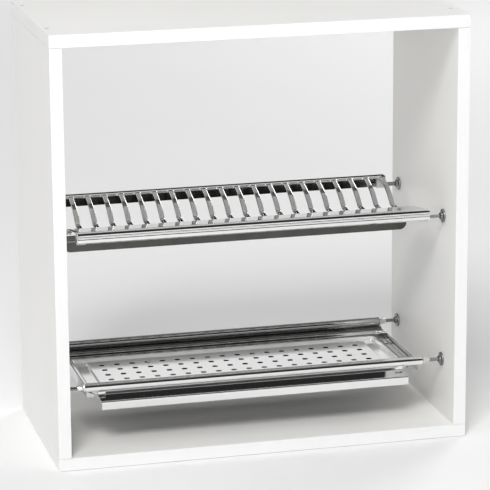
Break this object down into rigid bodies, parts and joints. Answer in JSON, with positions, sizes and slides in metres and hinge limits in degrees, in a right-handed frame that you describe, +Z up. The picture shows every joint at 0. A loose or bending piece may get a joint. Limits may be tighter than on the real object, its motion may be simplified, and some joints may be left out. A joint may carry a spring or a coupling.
{
  "type": "cabinet dish drainer",
  "caption": "White open-backed cabinet with a slotted steel plate rack above a glass rack that holds a lift-out perforated tray and a sliding drip tray.",
  "frame": {"origin": "middle of the cabinet's footprint, at its underside", "axes": "+X to the right seen from the front, +Y to the back, +Z up"},
  "size_m": [0.6, 0.303, 0.62],
  "materials": {
    "white_board": "white melamine faced board, satin",
    "white_edge": "white edging strip, satin",
    "steel": "bright polished stainless steel",
    "grey_metal": "satin nickel plated",
    "zinc": "zinc plated",
    "grey_plastic": "moulded light grey"
  },
  "bodies": {
    "cabinet": {"top_board": "white_board", "bottom_board": "white_board", "left_side": "white_board", "right_side": "white_board", "top_edge_band": "white_edge", "bottom_edge_band": "white_edge", "left_edge_band": "white_edge", "right_edge_band": "white_edge", "top_screw_front_left": "zinc", "top_screw_back_left": "zinc", "top_screw_front_right": "zinc", "top_screw_back_right": "zinc", "bottom_screw_front_left": "zinc", "bottom_screw_back_left": "zinc", "bottom_screw_front_right": "zinc", "bottom_screw_back_right": "zinc", "upper_front_left_cup": "grey_metal", "upper_front_right_cup": "grey_metal", "upper_back_left_cup": "grey_metal", "upper_back_right_cup": "grey_metal", "lower_front_left_cup": "grey_metal", "lower_front_right_cup": "grey_metal", "lower_back_left_cup": "grey_metal", "lower_back_right_cup": "grey_metal", "upper_front_left_bush": "grey_plastic", "upper_front_right_bush": "grey_plastic", "upper_back_left_bush": "grey_plastic", "upper_back_right_bush": "grey_plastic", "lower_front_left_plug": "steel", "lower_front_right_plug": "steel", "lower_back_left_plug": "steel", "lower_back_right_plug": "steel", "plate_rack_grid": "steel", "plate_rack_front_rail": "steel", "plate_rack_back_rail": "steel", "plate_rack_bottom_bar": "steel", "glass_rack_front_tube": "steel", "glass_rack_back_tube": "steel", "glass_rack_left_bar": "steel", "glass_rack_right_bar": "steel", "glass_rack_back_apron": "steel", "drip_tray_left_runner": "steel", "drip_tray_right_runner": "steel"},
    "glass_tray_body": {"glass_tray": "steel"},
    "drip_tray_body": {"drip_tray": "steel", "drip_tray_front": "steel", "drip_tray_left_stop": "steel", "drip_tray_right_stop": "steel"},
    "upper_front_left_pin_body": {"upper_front_left_pin": "grey_metal"},
    "upper_front_right_pin_body": {"upper_front_right_pin": "grey_metal"},
    "upper_back_left_pin_body": {"upper_back_left_pin": "grey_metal"},
    "upper_back_right_pin_body": {"upper_back_right_pin": "grey_metal"},
    "lower_front_left_pin_body": {"lower_front_left_pin": "grey_metal"},
    "lower_front_right_pin_body": {"lower_front_right_pin": "grey_metal"},
    "lower_back_left_pin_body": {"lower_back_left_pin": "grey_metal"},
    "lower_back_right_pin_body": {"lower_back_right_pin": "grey_metal"}
  },
  "joints": [
    {"name": "glass_tray_lift", "type": "slide", "parent": "cabinet", "child": "glass_tray_body", "axis": [0, 0, 1], "range_m": [0, 0.05]},
    {"name": "drip_tray_slide", "type": "slide", "parent": "cabinet", "child": "drip_tray_body", "axis": [0, -1, 0], "range_m": [0, 0.11]},
    {"name": "upper_front_left_pin_slide", "type": "slide", "parent": "cabinet", "child": "upper_front_left_pin_body", "axis": [1, 0, 0], "range_m": [0, 0.006]},
    {"name": "upper_front_right_pin_slide", "type": "slide", "parent": "cabinet", "child": "upper_front_right_pin_body", "axis": [-1, 0, 0], "range_m": [0, 0.006]},
    {"name": "upper_back_left_pin_slide", "type": "slide", "parent": "cabinet", "child": "upper_back_left_pin_body", "axis": [1, 0, 0], "range_m": [0, 0.006]},
    {"name": "upper_back_right_pin_slide", "type": "slide", "parent": "cabinet", "child": "upper_back_right_pin_body", "axis": [-1, 0, 0], "range_m": [0, 0.006]},
    {"name": "lower_front_left_pin_slide", "type": "slide", "parent": "cabinet", "child": "lower_front_left_pin_body", "axis": [1, 0, 0], "range_m": [0, 0.006]},
    {"name": "lower_front_right_pin_slide", "type": "slide", "parent": "cabinet", "child": "lower_front_right_pin_body", "axis": [-1, 0, 0], "range_m": [0, 0.006]},
    {"name": "lower_back_left_pin_slide", "type": "slide", "parent": "cabinet", "child": "lower_back_left_pin_body", "axis": [1, 0, 0], "range_m": [0, 0.006]},
    {"name": "lower_back_right_pin_slide", "type": "slide", "parent": "cabinet", "child": "lower_back_right_pin_body", "axis": [-1, 0, 0], "range_m": [0, 0.006]}
  ]
}
